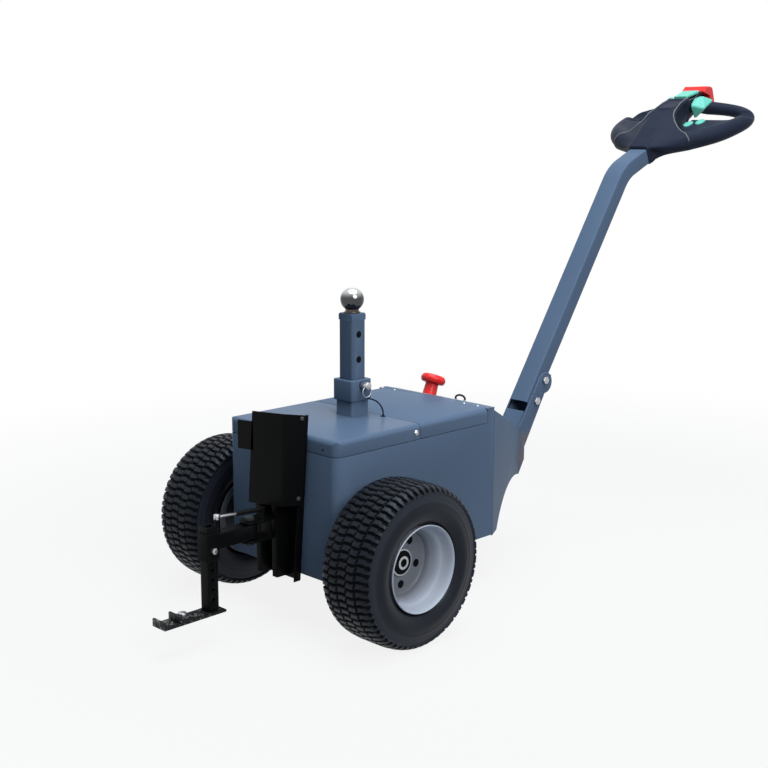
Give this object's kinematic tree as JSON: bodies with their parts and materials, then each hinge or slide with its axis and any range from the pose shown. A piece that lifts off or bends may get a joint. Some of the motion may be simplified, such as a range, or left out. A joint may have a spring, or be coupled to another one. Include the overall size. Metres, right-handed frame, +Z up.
{
  "type": "walk-behind electric baggage tug",
  "caption": "Walk-behind electric tug with driven turf tyres, rear castor, hinged lid, pinned tow ball post, lifting swinging front hitch and a bent tiller with a looped head.",
  "frame": {"origin": "on the ground, in the middle of the vehicle's overall length and width", "axes": "+X back to the tiller head, +Y to the left side, +Z up"},
  "size_m": [1.8604, 0.651, 1.1206],
  "materials": {
    "paint": "satin blue-grey powder coat",
    "black_paint": "satin black paint",
    "rim_paint": "satin light grey paint",
    "tyre": "matt moulded rubber",
    "castor_rubber": "matt solid rubber",
    "black_plastic": "fine grained moulded plastic",
    "red_plastic": "glossy moulded plastic",
    "green_plastic": "satin moulded plastic",
    "zinc": "bright zinc plating",
    "chrome": "polished chrome",
    "cast_iron": "rough casting"
  },
  "bodies": {
    "chassis": {"body_tub": "paint", "front_cover": "paint", "hinge_rod": "zinc", "console": "paint", "emergency_disconnect": "red_plastic", "key_switch": "black_plastic", "tiller_channel": "paint", "tiller_bolts": "zinc", "tiller_tube": "paint", "tiller_head": "black_plastic", "drive_paddles": "green_plastic", "thumb_buttons": "green_plastic", "reverse_button": "red_plastic", "post_socket": "paint", "post_collar": "paint", "tow_post": "paint", "tow_ball": "chrome", "hitch_pin": "zinc", "retaining_wire": "black_plastic", "mast_plate": "black_paint", "mast_rails": "black_paint", "mast_cover": "black_paint", "axle_shaft": "zinc", "bearing_housings": "black_paint", "drive_unit": "cast_iron", "batteries": "black_plastic", "castor_plate": "zinc"},
    "lid": {"rear_lid": "paint"},
    "wheel_left": {"tyre_left": "tyre", "rim_left": "rim_paint"},
    "wheel_right": {"tyre_right": "tyre", "rim_right": "rim_paint"},
    "castor_swivel": {"castor_fork": "zinc"},
    "castor_roller": {"castor_wheel": "castor_rubber"},
    "carriage": {"lift_carriage": "black_paint", "pivot_bolt": "zinc"},
    "hitch": {"hitch_arm": "black_paint", "leg_tube": "black_paint", "foot_bar": "black_paint", "jaw_plate": "black_paint", "hitch_fasteners": "zinc"},
    "damper_body": {"damper_cylinder": "black_paint"},
    "damper_plunger": {"damper_rod": "zinc"}
  },
  "joints": [
    {"name": "wheel_left_spin", "type": "hinge", "parent": "chassis", "child": "wheel_left", "pos_m": [-0.53921, 0.26, 0.164], "axis": [0, 1, 0], "continuous": true},
    {"name": "wheel_right_spin", "type": "hinge", "parent": "chassis", "child": "wheel_right", "pos_m": [-0.53921, -0.26, 0.164], "axis": [0, 1, 0], "continuous": true},
    {"name": "castor_swivel_turn", "type": "hinge", "parent": "chassis", "child": "castor_swivel", "pos_m": [-0.22121, 0, 0.0967], "axis": [0, 0, 1], "continuous": true},
    {"name": "castor_spin", "type": "hinge", "parent": "castor_swivel", "child": "castor_roller", "pos_m": [-0.18721, 0, 0.04], "axis": [0, 1, 0], "continuous": true},
    {"name": "lid_hinge", "type": "hinge", "parent": "chassis", "child": "lid", "pos_m": [-0.14841, 0, 0.399], "axis": [0, 1, 0], "range_deg": [0, 80]},
    {"name": "hitch_lift", "type": "slide", "parent": "chassis", "child": "carriage", "axis": [0, 0, 1], "range_m": [-0.045, 0]},
    {"name": "hitch_swing", "type": "hinge", "parent": "carriage", "child": "hitch", "pos_m": [-0.70721, 0, 0.192], "axis": [0, 0, 1], "range_deg": [-30, 30]},
    {"name": "damper_turn", "type": "hinge", "parent": "carriage", "child": "damper_body", "pos_m": [-0.68921, -0.02, 0.2523], "axis": [0, 0, 1], "range_deg": [-24, 24]},
    {"name": "damper_stroke", "type": "slide", "parent": "damper_body", "child": "damper_plunger", "axis": [-0.9798, 0.2, 0], "range_m": [-0.0085, 0.0085]}
  ],
  "couplings": [
    {"joint": "damper_turn", "follows": "hitch_swing", "ratio": 0.79},
    {"joint": "damper_stroke", "follows": "hitch_swing", "m_per_rad": -0.0155}
  ]
}
